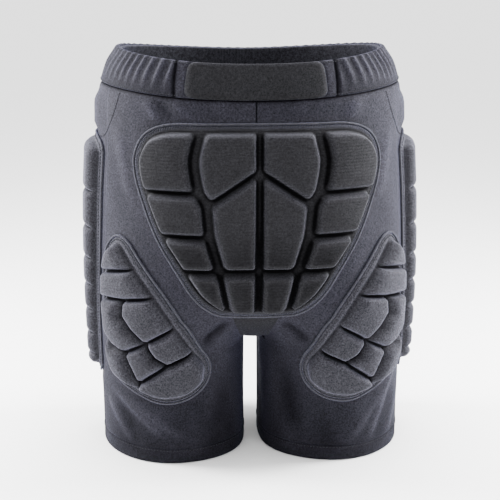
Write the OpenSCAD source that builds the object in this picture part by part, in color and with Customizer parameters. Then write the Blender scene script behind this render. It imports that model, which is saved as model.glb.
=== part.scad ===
// Padded impact shorts: a sewn garment with moulded foam pads, standing on its two hems.
// +Z is up, +X is the right side of the wearer, and the back of the garment is at -Y.
// The origin is at the centre of the footprint, at the height of the hems.

/* [Garment] */
// Height of the sides, from the hems to the rim
garment_h = 397; // [392:1:402]
// Width across the hips, without the pads
hip_w = 305; // [298:1:312]
// Width at the rim of the waist
waist_w = 256; // [250:1:262]
// Depth of the seat behind the leg axis
seat_depth = 112; // [108:1:116]
// Depth of the belly in front of the leg axis
belly_depth = 103; // [99:1:107]
// Height of the crotch
crotch_h = 112; // [108:1:116]
// Clear gap between the two legs
leg_gap = 14; // [12:1:18]
// Thickness of the stretch fabric
fabric_t = 1.8; // [1.4:0.1:2]
// Height of the folded hem
hem_h = 15; // [12:1:18]

/* [Waistband] */
// Height of the waistband
band_h = 33; // [30:1:36]
// How far the rim dips at the centre of the back and front
rim_dip = 10; // [6:1:14]
// Half-width of the smooth patch, in quarter turns round the waist
patch_span = 1.2; // [1.1:0.05:1.3]

/* [Impact pads] */
// Thickness of a pad's base sheet
base_t = 2.7; // [2:0.1:3]
// Height of a cell's crown above the fabric
cell_h = 14; // [11:0.5:16]
// Width of the grooves between the seat pad's cells
seat_groove_w = 5; // [4:0.5:6]
// Width of the grooves between the other pads' cells
side_groove_w = 2.6; // [2:0.2:4]
// Width of the seat pad's border, outside its outermost groove
seat_border_w = 4; // [2.5:0.5:5]
// Width of the other pads' borders
side_border_w = 4.5; // [3:0.5:6]
// Diameter of the edge piping
piping_d = 2.6; // [2:0.2:3.2]
// Thickness of the mesh lining behind each pad
lining_t = 1; // [0.8:0.1:1.2]
// Thickness of the small upper-hip foam
iliac_t = 6; // [4:0.5:7]

/* [Hidden] */

shell_colour = "#3d3f4c";
pad_colour = "#33353f";
trim_colour = "#22232b";
lining_colour = "#4a4c55";

// ---- Body of the garment: each half is a leg tube that opens into the hips ----

gap_half = leg_gap / 2;
hem_half_w = hip_w / 2 - 2.5;
// Distance from the middle to the axis of each leg
leg_x = (hem_half_w + gap_half) / 2;
// Half-width of the nearly flat middle of the back above the crotch
flat_x = 30;
// Height over which the two leg tubes open into one
merge_h = 75;
// Height over which the leg axes move in to the flat middle
rise_h = 150;
// The leg axis lies this far forward, which centres the footprint with the seat pad on
axis_y = (seat_depth + cell_h - belly_depth) / 2;

band_low = garment_h - band_h;

// Half-width of the garment by height
WIDTH = [
    [0, hem_half_w], [60, hip_w / 2 - 2], [crotch_h, hip_w / 2 - 0.5], [180, hip_w / 2 + 1],
    [250, hip_w / 2], [300, hip_w / 2 - 2.5], [330, hip_w / 2 - 3], [350, hip_w / 2 - 4],
    [band_low + 4, waist_w / 2 + 16], [garment_h, waist_w / 2]
];
// Depth behind the leg axis by height
BACK = [
    [0, seat_depth - 20], [60, seat_depth - 18], [crotch_h, seat_depth - 13],
    [160, seat_depth - 5], [220, seat_depth], [270, seat_depth - 2], [320, seat_depth - 9],
    [band_low, seat_depth - 15], [garment_h, seat_depth - 19]
];
// Depth in front of the leg axis by height
FRONT = [
    [0, belly_depth - 11], [60, belly_depth - 10], [crotch_h, belly_depth - 7],
    [160, belly_depth - 3], [220, belly_depth], [270, belly_depth], [320, belly_depth - 3],
    [band_low, belly_depth - 7], [garment_h, belly_depth - 11]
];

function mix(a, b, t) = a + (b - a) * t;
function clamp(v, low, high) = min(max(v, low), high);
function smooth(t) = let (c = clamp(t, 0, 1)) c * c * (3 - 2 * c);

// Smooth curve through the stations of a profile
function span(stations, z, i = 0) =
    i >= len(stations) - 2 || z < stations[i + 1][0] ? i : span(stations, z, i + 1);
function slope(stations, i) =
    let (a = stations[max(i - 1, 0)], b = stations[min(i + 1, len(stations) - 1)])
    (b[1] - a[1]) / (b[0] - a[0]);
function profile(stations, height) =
    let (
        z = clamp(height, stations[0][0], stations[len(stations) - 1][0]),
        i = span(stations, z),
        run = stations[i + 1][0] - stations[i][0],
        t = (z - stations[i][0]) / run,
        ends = mix(stations[i][1], stations[i + 1][1], t * t * (3 - 2 * t)),
        bend = (t ^ 3 - 2 * t ^ 2 + t) * slope(stations, i)
            + (t ^ 3 - t ^ 2) * slope(stations, i + 1)
    )
    ends + run * bend;

function axis_x(z) = mix(leg_x, flat_x, smooth((z - crotch_h) / rise_h));

// Half of the gap between the legs, closing to a flat arch just below the crotch
function gap_at(z) =
    let (t = clamp((z - crotch_h + gap_half) / gap_half, 0, 1))
    gap_half * (1 - t ^ 8) ^ 0.125;

// How closed the inner half of a tube is: above 1 on a leg, 1 at the crotch, 0 on the hips
function closure(z) =
    z <= crotch_h ? leg_x / (leg_x - gap_at(z))
    : max(0.001, 1 - ((z - crotch_h) / merge_h) ^ 1.3);

// Point of the right half. angle is 0 at the side, 90 at the front and -90 at the back.
function skin(angle, z) =
    let (
        c = axis_x(z),
        past = abs(angle) - 90,
        depth = profile(angle > 0 ? FRONT : BACK, z),
        reach = z <= crotch_h ? c - gap_at(z) * sin(past) ^ 6 : c / closure(z),
        x = past <= 0 ? mix(c, profile(WIDTH, z), cos(angle)) : c - reach * sin(past)
    )
    [x, axis_y + depth * sin(angle), z];

function outward(angle, z) =
    let (
        step = 0.5,
        round_way = skin(angle + step, z) - skin(angle - step, z),
        up_way = skin(angle, z + step) - skin(angle, z - step),
        n = cross(round_way, up_way)
    )
    n / norm(n);

// Point at height h above the fabric's outer face
function raised(angle, z, h) = skin(angle, z) + h * outward(angle, z);

// Angle past the back or front at which the half reaches the distance x from the middle
function angle_past(z, x) =
    90 + asin(clamp(closure(z) * (axis_x(z) - x) / axis_x(z), 0, 1));

// Elevation from behind: the angle of the point at the distance x from the middle
function angle_at_x(x, z) =
    let (c = axis_x(z))
    x > c ? -acos((x - c) / (profile(WIDTH, z) - c)) : -angle_past(z, x);

// The whole waist as one loop: turn 0 is centre back, 2 the right side, 4 centre front
function waist_angle(turn, z) =
    let (u = abs(turn) - 2)
    abs(u) <= 1 ? 90 * u : sign(u) * mix(90, angle_past(z, 0), abs(u) - 1);
// How far the rim lies below its sides. It follows the distance from the middle.
function rim_drop(turn) =
    let (
        t = abs(turn) > 2 ? 4 - abs(turn) : abs(turn),
        wide = waist_w / 2,
        x = t <= 1 ? flat_x * t : mix(flat_x, wide, sin(90 * (t - 1)))
    )
    rim_dip * (1 - (x / wide) ^ 2);

// ---- Solids laid on the surface ----

// Solid from loops of points, stacked from the bottom up and closed by a pole at each end
module stacked_solid(bottom, loops, top) {
    n = len(loops[0]);
    count = len(loops);
    points = concat([for (loop = loops) each loop], [bottom, top]);
    sides = [
        for (k = [0:count - 2], i = [0:n - 1])
            let (j = (i + 1) % n, a = k * n, b = a + n)
            each [[a + i, b + i, b + j], [a + i, b + j, a + j]]
    ];
    floor_fan = [for (i = [0:n - 1]) [i, (i + 1) % n, count * n]];
    top_fan = [
        for (i = [0:n - 1])
            let (a = (count - 1) * n)
            [a + (i + 1) % n, a + i, count * n + 1]
    ];
    polyhedron(points, concat(sides, floor_fan, top_fan), convexity = 6);
}

// Solid between an outer and an inner grid of points, open at all four edges
module grid_solid(outer, inner) {
    rows = len(outer);
    cols = len(outer[0]);
    half = rows * cols;
    points = concat([for (row = outer) each row], [for (row = inner) each row]);
    faces = [
        for (r = [0:rows - 2], c = [0:cols - 2])
            let (a = r * cols + c, b = a + cols)
            each [
                [a, b, b + 1], [a, b + 1, a + 1],
                [half + a, half + b + 1, half + b], [half + a, half + a + 1, half + b + 1]
            ]
    ];
    low = [for (c = [0:cols - 1]) c];
    right = [for (r = [1:rows - 1]) r * cols + cols - 1];
    high = [for (c = [cols - 2:-1:0]) (rows - 1) * cols + c];
    left = [for (r = [rows - 2:-1:1]) r * cols];
    edge = concat(low, right, high, left);
    rim = [
        for (i = [0:len(edge) - 1])
            let (a = edge[i], b = edge[(i + 1) % len(edge)])
            each [[a, b, half + b], [a, half + b, half + a]]
    ];
    polyhedron(points, concat(faces, rim), convexity = 8);
}

// Ring solid: the grid's columns close on themselves
module ring_solid(outer, inner) {
    rows = len(outer);
    cols = len(outer[0]);
    half = rows * cols;
    points = concat([for (row = outer) each row], [for (row = inner) each row]);
    faces = [
        for (r = [0:rows - 2], c = [0:cols - 1])
            let (a = r * cols + c, n = r * cols + (c + 1) % cols)
            each [
                [a, a + cols, n + cols], [a, n + cols, n],
                [half + a, half + n + cols, half + a + cols], [half + a, half + n, half + n + cols]
            ]
    ];
    ends = [
        for (c = [0:cols - 1])
            let (n = (c + 1) % cols, top = (rows - 1) * cols)
            each [
                [c, n, half + n], [c, half + n, half + c],
                [top + n, top + c, half + top + c], [top + n, half + top + c, half + top + n]
            ]
    ];
    polyhedron(points, concat(faces, ends), convexity = 8);
}

module both_sides() {
    children();
    mirror([1, 0, 0]) children();
}
module left_side() {
    mirror([1, 0, 0]) children();
}

// ---- Flat drawings of the pads ----

function seat_point(p, h) =
    let (
        side = p[0] < 0 ? -1 : 1,
        q = raised(angle_at_x(abs(p[0]), p[1]), p[1], h)
    )
    [side * q[0], q[1], q[2]];
// The thigh pad's drawing is in mm round the leg, negative from the side to the back
thigh_radius = 80;
function thigh_point(p, h) = raised(p[0] / thigh_radius * 180 / PI, p[1], h);
// The hip pad's drawing is in mm towards the front from the leg axis
function hip_point(p, h) = raised(asin(p[0] / profile(p[0] > 0 ? FRONT : BACK, p[1])), p[1], h);

function centre_of(loop) = [for (k = [0, 1]) sum([for (p = loop) p[k]]) / len(loop)];
function sum(v, i = 0) = i >= len(v) ? 0 : v[i] + sum(v, i + 1);
function turned(loop) = [for (i = [len(loop) - 1:-1:0]) loop[i]];
function area(loop) =
    sum([
        for (i = [0:len(loop) - 1])
            let (a = loop[i], b = loop[(i + 1) % len(loop)])
            a[0] * b[1] - a[1] * b[0]
    ]);
function anticlockwise(loop) = area(loop) < 0 ? turned(loop) : loop;

// Moves each edge of an anticlockwise loop inwards by d
function inset(loop, d) =
    [
        for (i = [0:len(loop) - 1])
            let (
                n = len(loop),
                a = loop[i] - loop[(i + n - 1) % n],
                b = loop[(i + 1) % n] - loop[i],
                na = [-a[1], a[0]] / norm(a),
                nb = [-b[1], b[0]] / norm(b)
            )
            loop[i] + d * (na + nb) / (1 + na * nb)
    ];

// Cuts each corner of a loop in two, at the share cut of its edges
function eased(loop, cut = 0.25) =
    [
        for (i = [0:len(loop) - 1])
            let (a = loop[i], b = loop[(i + 1) % len(loop)])
            each [mix(a, b, cut), mix(a, b, 1 - cut)]
    ];
function shrunk(loop, t) = let (c = centre_of(loop)) [for (p = loop) mix(c, p, t)];

// Rim points of the seat pad's right half, from the top middle round to the bottom middle
SEAT_RIM = [
    [53, 327], [84, 327], [102, 319], [110, 301], [109, 285], [105, 269], [91, 229], [71, 197],
    [57, 173], [42, 160], [28, 155]
];
// Groove junctions inside the seat pad's right half
seat_top = [0, 327];
seat_mid = [0, 289];
seat_low = [0, 197];
seat_tip = [0, 154];
seat_curve = [59, 300];
seat_bend = [57, 281];
seat_fork = [54, 269];
seat_knee = [48, 258];
seat_hook = [45, 229];
seat_tail = [36, 197];

// Each cell's loop of junctions
SEAT_CELLS = [
    [seat_top, SEAT_RIM[0], seat_curve, seat_bend, seat_fork, seat_knee, seat_mid],
    [for (i = [0:5]) SEAT_RIM[i], seat_fork, seat_bend, seat_curve],
    [seat_mid, seat_knee, seat_hook, seat_tail, seat_low],
    [seat_fork, SEAT_RIM[5], SEAT_RIM[6], seat_hook, seat_knee],
    [seat_hook, SEAT_RIM[6], SEAT_RIM[7], seat_tail],
    [seat_low, seat_tail, SEAT_RIM[10], seat_tip],
    [seat_tail, for (i = [7:10]) SEAT_RIM[i]]
];
seat_loop = anticlockwise(concat(SEAT_RIM, turned([for (p = SEAT_RIM) [-p[0], p[1]]])));

// Thigh pad junctions: degrees round the leg from the side to the back, and height
THIGH_POINTS = [
    [40, 220], [32, 209], [30, 186], [54, 194], [32, 161], [51, 164], [70, 170], [36, 130],
    [52, 149], [60, 137], [71, 125], [88, 143], [46, 118], [56, 113], [38, 105], [44, 86],
    [64, 75], [66, 83], [86, 104], [77, 112], [103, 117], [82, 67], [100, 72], [111, 86],
    [112, 102]
];
function thigh_flat(i) =
    [-THIGH_POINTS[i][0] * PI / 180 * thigh_radius, THIGH_POINTS[i][1]];
function thigh_loop(order) = anticlockwise([for (i = order) thigh_flat(i)]);
THIGH_CELLS = [
    [0, 1, 2, 3], [2, 4, 5, 6, 3], [4, 7, 12, 13, 10, 9, 8, 5], [5, 8, 9, 10, 11, 6],
    [7, 14, 15, 16, 17, 13, 12], [13, 17, 18, 19, 10], [10, 19, 18, 20, 11],
    [17, 16, 21, 22, 23, 24, 20, 18]
];
THIGH_RIM = [0, 1, 2, 4, 7, 14, 15, 16, 21, 22, 23, 24, 20, 11, 6, 3];

// Hip pad: rows of cells from the top down, each with its height
hip_top = 308;
hip_middle = 8;
HIP_ROWS = [50, 36, 31, 27, 26, 25, 22, 15];
hip_low = hip_top - sum(HIP_ROWS);
function hip_half_w(z) = mix(28, 40, smooth((z - hip_low) / 120));
function row_top(i) = hip_top - sum([for (k = [0:1:i - 1]) HIP_ROWS[k]]);
function hip_row(i) =
    let (
        high = row_top(i),
        low = high - HIP_ROWS[i],
        a = hip_half_w(low),
        b = hip_half_w(high),
        m = hip_middle
    )
    [[m - a, low], [m, low], [m + a, low], [m + b, high], [m, high], [m - b, high]];
hip_levels = [for (t = [0, 0.33, 0.67, 1]) mix(hip_low, hip_top, t)];
hip_loop = concat(
    [for (z = hip_levels) [hip_middle + hip_half_w(z), z]],
    turned([for (z = hip_levels) [hip_middle - hip_half_w(z), z]])
);

// Upper-hip foam, seen from the side like the hip pad
iliac_loop = [for (a = [0:30:330]) [6 + 34 * cos(a), 333 + 17 * sin(a)]];

// ---- Pad parts. loop is the flat outline, at turns a flat point into a place ----

// Share of each edge that a cell's corners cut off, and share of its width left at the crown
corner_cut = 0.16;
crown_share = 0.72;
// Share of the cell's height that its side wall takes up
wall_share = 0.6;
// Clear gap under a cell, and how much more of it there is under the middle
cell_gap = 1;
cell_hollow = 0.2;
module cell(loop, at, groove_w) {
    rim = eased(inset(loop, groove_w / 2), corner_cut);
    crown = shrunk(rim, crown_share);
    mid = centre_of(rim);
    low = base_t + cell_gap;
    stacked_solid(
        at(mid, low + cell_hollow),
        [
            [for (p = rim) at(p, low)],
            [for (p = rim) at(p, cell_h * wall_share)],
            [for (p = crown) at(p, cell_h)]
        ],
        at(mid, cell_h)
    );
}

module sheet_on(loop, at, low, high) {
    rim = eased(loop);
    steps = [0.25, 0.5, 0.75, 1];
    mid = centre_of(rim);
    stacked_solid(
        at(mid, low),
        concat(
            [for (t = steps) [for (p = shrunk(rim, t)) at(p, low)]],
            [for (t = turned(steps)) [for (p = shrunk(rim, t)) at(p, high)]]
        ),
        at(mid, high)
    );
}

// Height at which a pad's base starts above the shell
base_low = 0.5;
module piping_on(loop, at) {
    route = eased(loop);
    n = len(route);
    sides = 6;
    r = piping_d / 2;
    points = [
        for (i = [0:n - 1])
            let (
                p = route[i],
                t = route[(i + 1) % n] - route[(i + n - 1) % n],
                out = [t[1], -t[0]] / norm(t)
            )
            [for (k = [0:sides - 1])
                let (a = 360 * k / sides)
                at(p + r * cos(a) * out, r + base_low + r * sin(a))]
    ];
    faces = [
        for (i = [0:n - 1], k = [0:sides - 1])
            let (a = i * sides, b = ((i + 1) % n) * sides, m = (k + 1) % sides)
            each [[a + k, a + m, b + m], [a + k, b + m, b + k]]
    ];
    polyhedron([for (ring = points) each ring], faces, convexity = 6);
}

// The piping's middle line lies outside the base's edge
pipe_out = piping_d / 2 + 0.3;
module base_on(loop, at, border_w) {
    color(pad_colour) sheet_on(inset(loop, -border_w), at, base_low, base_t);
}
module edge_on(loop, at, border_w) {
    color(trim_colour) piping_on(inset(loop, -border_w - pipe_out), at);
}
// A lining starts this far inside the shell's outer face
lining_deep = fabric_t + 0.8;
module lining_on(loop, at, border_w) {
    color(lining_colour)
        sheet_on(inset(loop, -border_w), at, -lining_deep - lining_t, -lining_deep);
}

seat_at = function (p, h) seat_point(p, h);
thigh_at = function (p, h) thigh_point(p, h);
hip_at = function (p, h) hip_point(p, h);

module seat_cell_pair(k) {
    color(pad_colour)
        both_sides() cell(anticlockwise(SEAT_CELLS[k]), seat_at, seat_groove_w);
}
module seat_pad_base() {
    base_on(seat_loop, seat_at, seat_border_w);
}
module seat_pad_piping() {
    edge_on(seat_loop, seat_at, seat_border_w);
}
module seat_pad_lining() {
    lining_on(seat_loop, seat_at, seat_border_w);
}

thigh_rim_loop = thigh_loop(THIGH_RIM);

module thigh_pad_base() {
    base_on(thigh_rim_loop, thigh_at, side_border_w);
}
module thigh_pad_cells() {
    for (order = THIGH_CELLS)
        color(pad_colour) cell(thigh_loop(order), thigh_at, side_groove_w);
}
module thigh_pad_piping() {
    edge_on(thigh_rim_loop, thigh_at, side_border_w);
}
module thigh_pad_lining() {
    lining_on(thigh_rim_loop, thigh_at, side_border_w);
}

module hip_pad_base() {
    base_on(hip_loop, hip_at, side_border_w);
}
module hip_pad_cells() {
    for (i = [0:len(HIP_ROWS) - 1])
        color(pad_colour) cell(hip_row(i), hip_at, side_groove_w);
}
module hip_pad_piping() {
    edge_on(hip_loop, hip_at, side_border_w);
}
module hip_pad_lining() {
    lining_on(hip_loop, hip_at, side_border_w);
}

module upper_hip_foam() {
    color("#8f9096") sheet_on(iliac_loop, hip_at, -lining_deep - iliac_t, -lining_deep);
}
// The pocket reaches this far beyond the foam, and lies a hair behind it
pocket_margin = 5;
module upper_hip_pocket() {
    deep = lining_deep + iliac_t + 0.8;
    color(lining_colour)
        sheet_on(inset(iliac_loop, -pocket_margin), hip_at, -deep - lining_t, -deep);
}

// ---- Fabric panels ----

// Half-gap at a seam, in mm or degrees
seam = 0.3;
side_front = 35;
side_back = 24;
gusset_low = 95;
gusset_top = 158;
gusset_half_w = 27;
panel_low = hem_h + seam;

// Distance from the middle at which the gusset ends and a panel begins
function gusset_edge(z) =
    z > gusset_top || z < gusset_low ? 0
    : mix(gap_half + 3, gusset_half_w, clamp((z - crotch_h - 4) / (gusset_top - crotch_h - 4), 0, 1));

PANEL_LEVELS = [
    panel_low, 55, gusset_low - seam, gusset_low, 104, 109, crotch_h, 115, 122, 135,
    gusset_top, gusset_top + seam, 190, 225, 262, 300, 335
];

// Quarter turns from the side at the share t of a panel's width
function panel_quarter(side, t) =
    mix(((side > 0 ? side_front : side_back) + seam) / 90, 2, t);
// The last columns lean over to the gusset's edge or to the middle
function panel_angle(side, z, t) =
    let (
        quarter = panel_quarter(side, t),
        limit = angle_past(z, max(gusset_edge(z), seam / 2)) - (z < crotch_h ? seam : 0),
        open = z > gusset_top ? 1 : 4
    )
    side * (quarter < 1 ? 90 * quarter
        : mix(90, 180, quarter - 1) - (180 - limit) * (quarter - 1) ^ open);

// Height of a panel's top edge, just below the waistband
function panel_top(quarter) = band_low - rim_drop(2 + quarter) - seam;

function panel_grid(side, h) =
    let (
        cols = 10,
        steps = [for (c = [0:cols]) side > 0 ? c / cols : 1 - c / cols]
    )
    [
        for (z = concat(PANEL_LEVELS, [band_low]))
            [for (t = steps)
                let (top = panel_top(side * panel_quarter(side, t)))
                raised(panel_angle(side, z, t), z == band_low ? top : z, h)]
    ];

module wall_panel(side) {
    color(shell_colour) grid_solid(panel_grid(side, 0), panel_grid(side, -fabric_t));
}

function side_grid(h) =
    [
        for (z = [panel_low, 60, 105, 150, 195, 240, 285, 320, 345, band_low])
            [for (a = [-side_back, -20, 0, 20, side_front])
                raised(a, z == band_low ? panel_top(a / 90) : z, h)]
    ];
module side_panel() {
    color(shell_colour) grid_solid(side_grid(0), side_grid(-fabric_t));
}

// One quarter of the gusset. The four overlap by a hair and join into one piece.
GUSSET_LEVELS = [gusset_low, 104, 109, crotch_h, 115, 122, 135, gusset_top];
lap = 0.2;
function gusset_grid(side, h) =
    [
        for (z = GUSSET_LEVELS)
            let (
                a = angle_past(z, gusset_edge(z)) + seam,
                b = angle_past(z, -lap) + (z < crotch_h ? lap : 0)
            )
            [for (t = side > 0 ? [0, 0.33, 0.67, 1] : [1, 0.67, 0.33, 0])
                raised(side * mix(a, b, t), z, h)]
    ];
module crotch_gusset() {
    color(trim_colour) both_sides() {
        grid_solid(gusset_grid(1, 0), gusset_grid(1, -fabric_t));
        grid_solid(gusset_grid(-1, 0), gusset_grid(-1, -fabric_t));
    }
}

hem_deep = 3.6;
function hem_grid(h) =
    [for (z = [0, hem_h]) [for (a = [-180:15:165]) skin(a, z) + h * flat_outward(a, z)]];
function flat_outward(angle, z) =
    let (n = outward(angle, z), f = [n[0], n[1], 0])
    f / norm(f);
module hem_band() {
    color(shell_colour) ring_solid(hem_grid(0), hem_grid(-hem_deep));
}

// ---- Waistband ----

casing_t = 1.4;
elastic_t = 1.8;
facing_t = 1;
layer_gap = 0.3;

function band_point(turn, t, h) =
    let (
        z = mix(band_low, garment_h, t) - rim_drop(turn),
        q = raised(waist_angle(turn, z), z, h)
    )
    [turn < 0 ? -q[0] : q[0], q[1], q[2]];
function band_grid(turns, low, high, h) =
    [for (t = [low, mix(low, high, 0.5), high]) [for (w = turns) band_point(w, t, h)]];

module band_piece(turns, low, high, outer, inner) {
    grid_solid(band_grid(turns, low, high, outer), band_grid(turns, low, high, inner));
}
module band_ring(low, high, outer, inner) {
    turns = [for (i = [0:31]) -4 + i / 4];
    ring_solid(band_grid(turns, low, high, outer), band_grid(turns, low, high, inner));
}

band_gap = 0.004;
module waist_patch() {
    turns = [for (i = [-4:4]) patch_span * i / 4];
    color(trim_colour) band_piece(turns, 0, 1, 0, -casing_t);
}
module half_waistband() {
    start = patch_span + band_gap;
    end = 4 - band_gap;
    turns = [for (i = [0:12]) mix(start, end, i / 12)];
    color(shell_colour) band_piece(turns, 0, 1, 0, -casing_t);
}
module waist_elastic() {
    outer = casing_t + layer_gap;
    color("#d8d8d8") band_ring(0.08, 0.92, -outer, -outer - elastic_t);
}
module waist_facing() {
    outer = casing_t + elastic_t + 2 * layer_gap;
    color(lining_colour) band_ring(0.02, 0.98, -outer, -outer - facing_t);
}

// ---- Seam tapes inside ----

tape_t = 0.8;
tape_deep = fabric_t + layer_gap;
tape_half_w = 5;
function centre_tape_grid(side, h) =
    let (levels = [for (t = [0:0.2:1]) mix(gusset_top + 32, band_low - rim_dip - 3, t)])
    [
        for (z = levels)
            [for (x = side > 0 ? [1, 0, -1] : [-1, 0, 1])
                let (q = raised(side * angle_past(z, tape_half_w * abs(x)), z, h))
                [x < 0 ? -q[0] : q[0], q[1], q[2]]]
    ];
module centre_tape(side) {
    color(trim_colour)
        grid_solid(centre_tape_grid(side, -tape_deep), centre_tape_grid(side, -tape_deep - tape_t));
}
function inseam_grid(h) =
    [for (z = [panel_low + 1, 50, 90]) [for (a = [176, 180, 184]) raised(a, z, h)]];
module inseam_tape() {
    color(trim_colour) grid_solid(inseam_grid(-tape_deep), inseam_grid(-tape_deep - tape_t));
}

// ---- Nodes ----

left_side() wall_panel(-1);  // left_back_panel
wall_panel(-1);  // right_back_panel
left_side() wall_panel(1);  // left_front_panel
wall_panel(1);  // right_front_panel
left_side() side_panel();  // left_side_panel
side_panel();  // right_side_panel
crotch_gusset();
left_side() hem_band();  // left_hem_band
hem_band();  // right_hem_band
waist_patch();
left_side() half_waistband();  // left_waistband
half_waistband();  // right_waistband
waist_elastic();
waist_facing();
seat_pad_base();
seat_cell_pair(0);  // seat_cells_upper_inner
seat_cell_pair(1);  // seat_cells_upper_outer
seat_cell_pair(2);  // seat_cells_middle_inner
seat_cell_pair(3);  // seat_cells_middle_outer
seat_cell_pair(4);  // seat_cells_lower_outer
seat_cell_pair(5);  // seat_cells_tail_inner
seat_cell_pair(6);  // seat_cells_tail_outer
seat_pad_piping();
seat_pad_lining();
left_side() thigh_pad_base();  // left_thigh_pad_base
thigh_pad_base();  // right_thigh_pad_base
left_side() thigh_pad_cells();  // left_thigh_pad_cells
thigh_pad_cells();  // right_thigh_pad_cells
left_side() thigh_pad_piping();  // left_thigh_pad_piping
thigh_pad_piping();  // right_thigh_pad_piping
left_side() thigh_pad_lining();  // left_thigh_pad_lining
thigh_pad_lining();  // right_thigh_pad_lining
left_side() hip_pad_base();  // left_hip_pad_base
hip_pad_base();  // right_hip_pad_base
left_side() hip_pad_cells();  // left_hip_pad_cells
hip_pad_cells();  // right_hip_pad_cells
left_side() hip_pad_piping();  // left_hip_pad_piping
hip_pad_piping();  // right_hip_pad_piping
left_side() hip_pad_lining();  // left_hip_pad_lining
hip_pad_lining();  // right_hip_pad_lining
left_side() upper_hip_foam();  // left_upper_hip_foam
upper_hip_foam();  // right_upper_hip_foam
left_side() upper_hip_pocket();  // left_upper_hip_pocket
upper_hip_pocket();  // right_upper_hip_pocket
centre_tape(-1);  // centre_back_tape
centre_tape(1);  // centre_front_tape
left_side() inseam_tape();  // left_inseam_tape
inseam_tape();  // right_inseam_tape
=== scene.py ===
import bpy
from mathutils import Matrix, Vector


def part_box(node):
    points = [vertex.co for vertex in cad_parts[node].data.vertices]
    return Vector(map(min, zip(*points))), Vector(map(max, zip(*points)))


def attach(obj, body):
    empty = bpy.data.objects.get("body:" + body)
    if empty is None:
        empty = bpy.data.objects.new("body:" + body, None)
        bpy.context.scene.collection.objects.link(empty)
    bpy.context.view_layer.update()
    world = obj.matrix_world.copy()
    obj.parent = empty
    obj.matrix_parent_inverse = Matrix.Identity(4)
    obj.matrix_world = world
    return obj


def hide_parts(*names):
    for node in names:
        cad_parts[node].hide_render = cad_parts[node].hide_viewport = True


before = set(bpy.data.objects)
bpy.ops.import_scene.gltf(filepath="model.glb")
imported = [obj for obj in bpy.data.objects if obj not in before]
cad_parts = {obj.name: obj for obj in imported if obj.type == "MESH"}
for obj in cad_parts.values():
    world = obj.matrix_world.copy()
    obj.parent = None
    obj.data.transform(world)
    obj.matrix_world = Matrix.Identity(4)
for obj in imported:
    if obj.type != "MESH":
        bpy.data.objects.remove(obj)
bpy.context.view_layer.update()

import math

import bpy
import numpy as np
from mathutils import Vector, geometry

# Padded impact shorts. All drawings are in mm, and MM turns them into metres.
# The back of the garment faces -Y, where the camera stands.
MM = 0.001

# ---------------------------------------------------------------- Sizes

GARMENT_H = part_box("right_waistband")[1].z / MM
BAND_H = 33.0
RIM_DIP = 10.0
HEM_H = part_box("right_hem_band")[1].z / MM
HEM_HALF_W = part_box("right_hem_band")[1].x / MM
GAP_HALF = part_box("right_hem_band")[0].x / MM
HIP_HALF_W = HEM_HALF_W + 2.5
WAIST_HALF_W = 128.0
SEAT_DEPTH = 112.0
BELLY_DEPTH = 103.0
AXIS_Y = 11.5
CROTCH_H = 112.0
CROTCH_DEPTH = 99.0
MERGE_H = 75.0
RISE_H = 150.0
FLAT_X = 30.0
LEG_X = (HEM_HALF_W + GAP_HALF) / 2
BAND_LOW = GARMENT_H - BAND_H
FABRIC_T = 1.6
PATCH_SPAN = 1.2
SIDE_FRONT = 35.0
SIDE_BACK = 24.0
SIDES = (("right", 1), ("left", -1))

# Profiles by height: half-width, depth behind and depth in front of the leg axis
WIDTH = np.array([
    [0, HEM_HALF_W], [60, HIP_HALF_W - 2], [CROTCH_H, HIP_HALF_W - 0.5], [180, HIP_HALF_W + 1],
    [250, HIP_HALF_W], [300, HIP_HALF_W - 2.5], [330, HIP_HALF_W - 3], [350, HIP_HALF_W - 4],
    [BAND_LOW + 4, WAIST_HALF_W + 16], [GARMENT_H, WAIST_HALF_W],
])
BACK = np.array([
    [0, 92], [60, 94], [CROTCH_H, CROTCH_DEPTH], [160, 107], [220, SEAT_DEPTH], [270, 110], [320, 103],
    [BAND_LOW, 97], [GARMENT_H, 93],
])
FRONT = np.array([
    [0, 92], [60, 93], [CROTCH_H, 96], [160, 100], [220, BELLY_DEPTH], [270, BELLY_DEPTH], [320, 100],
    [BAND_LOW, 96], [GARMENT_H, 92],
])

# ---------------------------------------------------------------- Surface of the body


def mix(a, b, t):
    return a + (b - a) * t


def smooth(t):
    t = np.clip(t, 0, 1)
    return t * t * (3 - 2 * t)


def bump(t):
    """1 at 0, falling smoothly to 0 at 1 and beyond."""
    return smooth(1 - np.abs(t))


def profile(stations, z):
    """Smooth curve through the stations."""
    x, y = stations[:, 0], stations[:, 1]
    slope = np.gradient(y, x)
    slope[1:-1] = (y[2:] - y[:-2]) / (x[2:] - x[:-2])
    z = np.clip(z, x[0], x[-1])
    i = np.clip(np.searchsorted(x, z, side="right") - 1, 0, len(x) - 2)
    run = x[i + 1] - x[i]
    t = (z - x[i]) / run
    ends = mix(y[i], y[i + 1], t * t * (3 - 2 * t))
    bend = (t**3 - 2 * t**2 + t) * slope[i] + (t**3 - t**2) * slope[i + 1]
    return ends + run * bend


def axis_x(z):
    return mix(LEG_X, FLAT_X, smooth((z - CROTCH_H) / RISE_H))


def gap_at(z):
    """Half of the gap between the legs, closing to a flat arch below the crotch."""
    t = np.clip((z - CROTCH_H + GAP_HALF) / GAP_HALF, 0, 1)
    return GAP_HALF * (1 - t**8) ** 0.125


def closure(z):
    open_part = np.maximum(0.001, 1 - (np.maximum(z - CROTCH_H, 0) / MERGE_H) ** 1.3)
    return np.where(z <= CROTCH_H, LEG_X / (LEG_X - gap_at(z)), open_part)


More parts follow.
